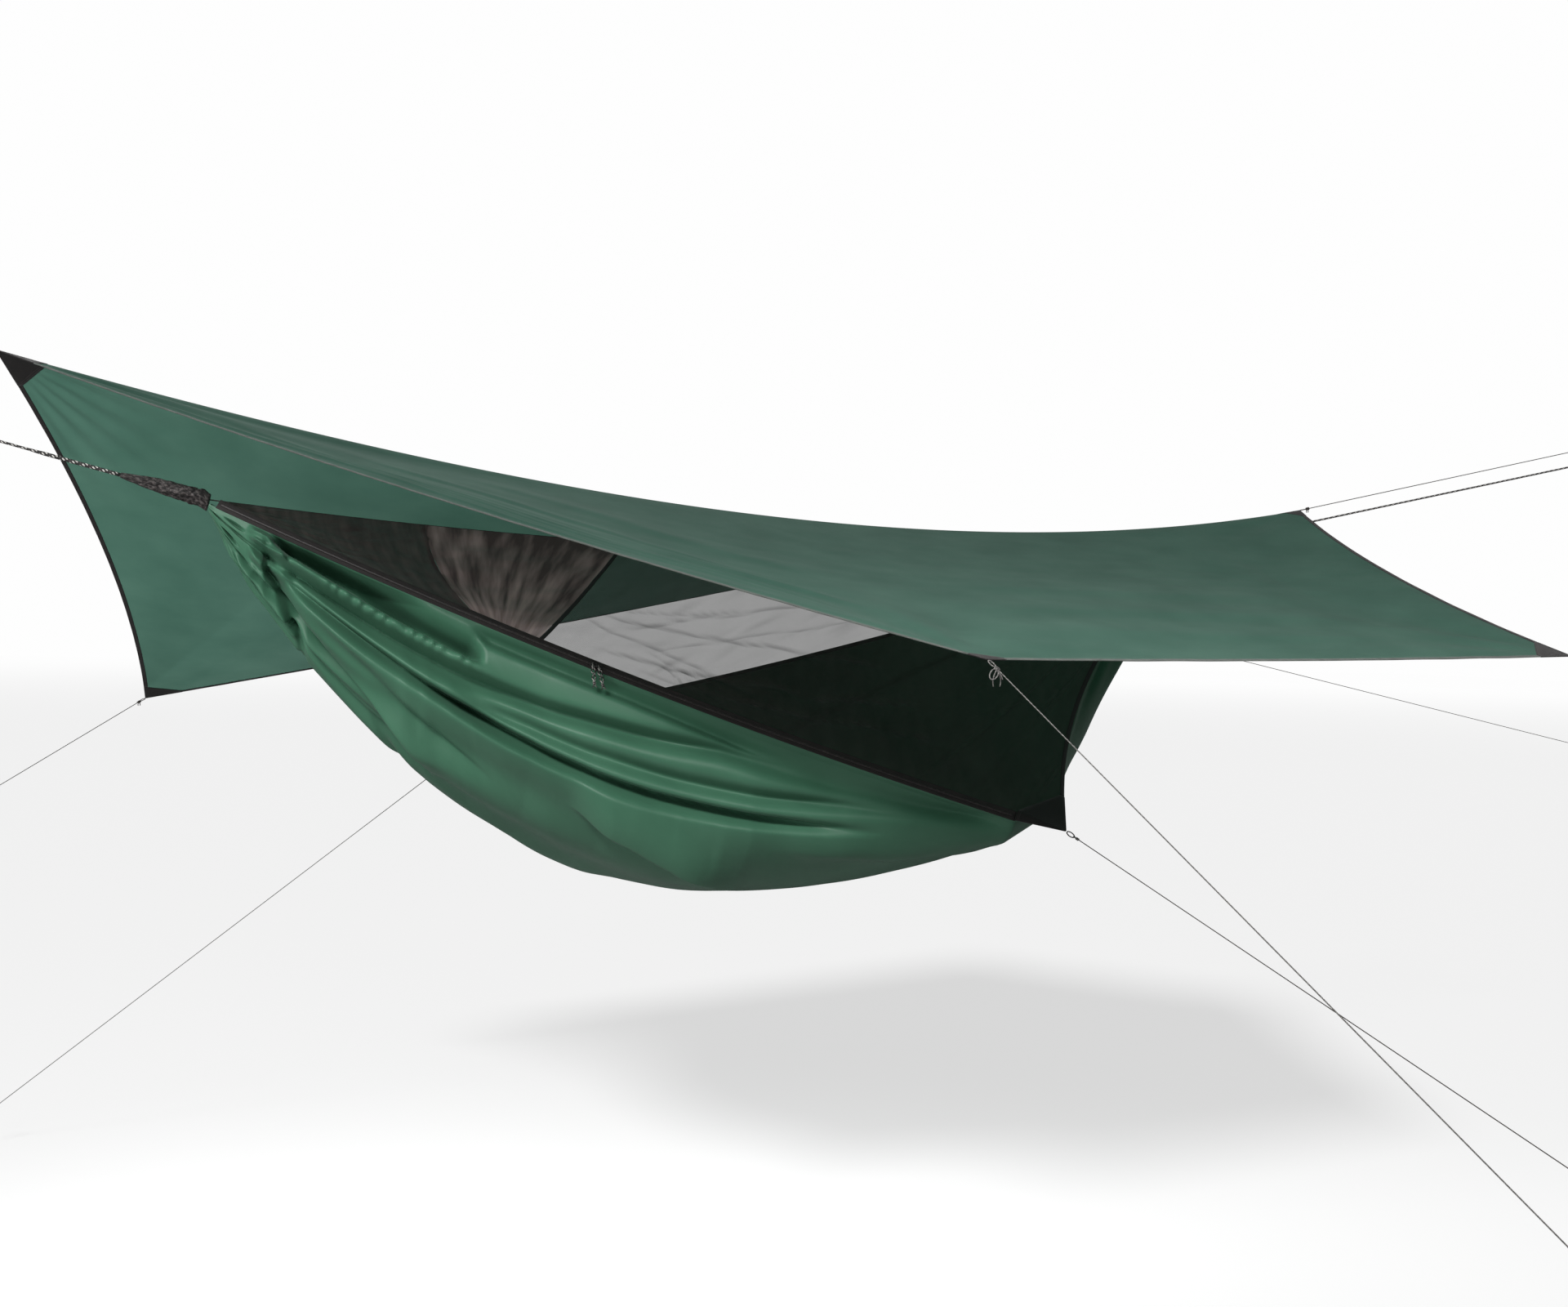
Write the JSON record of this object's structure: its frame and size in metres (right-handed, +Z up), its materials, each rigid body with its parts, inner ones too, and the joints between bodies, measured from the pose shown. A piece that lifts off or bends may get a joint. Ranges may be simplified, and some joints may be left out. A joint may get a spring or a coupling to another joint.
{
  "type": "camping hammock",
  "caption": "Gathered-end camping hammock with a zipped bug net over a ridge line and an asymmetric rain tarp, hung on ropes with guylines.",
  "frame": {"origin": "inner far end of the left anchor loop, where a tree strap or hook holds it", "axes": "+X along the ridge from the left anchor to the right one, +Y to the far side, +Z up"},
  "size_m": [6.1478, 3.9688, 2.4827],
  "materials": {
    "tarp_cloth": "coated ripstop, low sheen",
    "body_cloth": "woven nylon, soft sheen",
    "net": "fine see-through mesh",
    "panel_net": "denser mesh",
    "sleeve_mesh": "crinkled mesh",
    "rope": "braided, white flecks",
    "light_tape": "woven tape",
    "black_tape": "woven tape",
    "zip_chain": "coil zip",
    "slider_metal": "painted",
    "black_cord": "braided",
    "clip_metal": "brushed",
    "guy_cord": "braided"
  },
  "bodies": {
    "tarp": {"left_anchor_loop": "rope", "right_anchor_loop": "rope", "tarp_canopy": "tarp_cloth", "tarp_far_end_binding": "black_tape", "tarp_far_left_guyline": "guy_cord", "tarp_far_left_guyline_end": "guy_cord", "tarp_far_left_loop": "black_cord", "tarp_far_left_patch": "black_tape", "tarp_far_long_binding": "black_tape", "tarp_far_low_binding": "black_tape", "tarp_far_right_guyline": "guy_cord", "tarp_far_right_guyline_end": "guy_cord", "tarp_far_right_loop": "black_cord", "tarp_far_right_patch": "black_tape", "tarp_left_loop": "black_cord", "tarp_left_patch": "black_tape", "tarp_near_end_binding": "black_tape", "tarp_near_guyline": "guy_cord", "tarp_near_guyline_end": "guy_cord", "tarp_near_long_binding": "light_tape", "tarp_near_loop": "guy_cord", "tarp_near_low_binding": "black_tape", "tarp_near_middle_patch": "black_tape", "tarp_near_right_clip": "clip_metal", "tarp_near_right_patch": "black_tape", "tarp_ridge_cord": "guy_cord", "tarp_ridge_cord_end": "guy_cord", "tarp_right_loop": "black_cord", "tarp_right_patch": "black_tape"},
    "hammock": {"far_elastic_loop": "black_cord", "far_head_binding": "black_tape", "far_long_binding": "black_tape", "far_net": "net", "far_tieout_patch": "black_tape", "hammock_body": "body_cloth", "left_end_sleeve": "sleeve_mesh", "left_suspension_rope": "rope", "near_elastic_loop": "black_cord", "near_foot_binding": "black_tape", "near_net_head": "net", "near_net_main": "net", "near_net_panel": "panel_net", "near_net_seam": "black_tape", "near_tieout_patch": "black_tape", "near_zip_chain": "zip_chain", "near_zip_tape": "black_tape", "net_ridgeline": "rope", "right_end_sleeve": "sleeve_mesh", "right_suspension_rope": "rope"},
    "near_guyline": {"near_guyline": "guy_cord", "near_guyline_end": "guy_cord", "near_guyline_hitch": "guy_cord"},
    "far_guyline": {"far_guyline": "guy_cord", "far_guyline_end": "guy_cord", "far_guyline_hitch": "guy_cord"},
    "left_slider": {"left_zip_slider": "slider_metal"},
    "right_slider": {"right_zip_slider": "slider_metal"},
    "left_pull": {"left_zip_pull": "black_cord"},
    "right_pull": {"right_zip_pull": "black_cord"}
  },
  "joints": [
    {"name": "hammock_sway", "type": "hinge", "parent": "tarp", "child": "hammock", "pos_m": [0.08246, 0, -0.02062], "axis": [0.999, 0, 0.0458], "range_deg": [-4, 4], "stiffness_Nm_per_rad": 150},
    {"name": "near_guyline_swing", "type": "hinge", "parent": "hammock", "child": "near_guyline", "pos_m": [2.56541, -0.76332, -0.91281], "axis": [-0.8848, -0.326, -0.3331], "range_deg": [-7.4, 7.4]},
    {"name": "far_guyline_swing", "type": "hinge", "parent": "hammock", "child": "far_guyline", "pos_m": [1.39374, 0.75369, -0.75986], "axis": [-0.7226, -0.4432, 0.5305], "range_deg": [-4.8, 4.8]},
    {"name": "left_slider_run", "type": "hinge", "parent": "hammock", "child": "left_slider", "pos_m": [7.00767, -2.40055, 15.47749], "axis": [0.349, 0.9371, 0], "range_deg": [0, 3.26]},
    {"name": "left_pull_swing", "type": "hinge", "parent": "left_slider", "child": "left_pull", "pos_m": [1.48238, -0.35144, -0.52645], "axis": [0.8794, -0.3275, -0.3455], "range_deg": [-90, 0]},
    {"name": "right_slider_run", "type": "hinge", "parent": "hammock", "child": "right_slider", "pos_m": [7.00767, -2.40055, 15.47749], "axis": [0.349, 0.9371, 0], "range_deg": [-3.51, 0]},
    {"name": "right_pull_swing", "type": "hinge", "parent": "right_slider", "child": "right_pull", "pos_m": [1.49558, -0.35635, -0.53163], "axis": [0.8797, -0.3276, -0.3447], "range_deg": [-90, 0]}
  ],
  "couplings": [
    {"joint": "near_guyline_swing", "follows": "hammock_sway", "ratio": 1.8261},
    {"joint": "far_guyline_swing", "follows": "hammock_sway", "ratio": 1.1654}
  ]
}
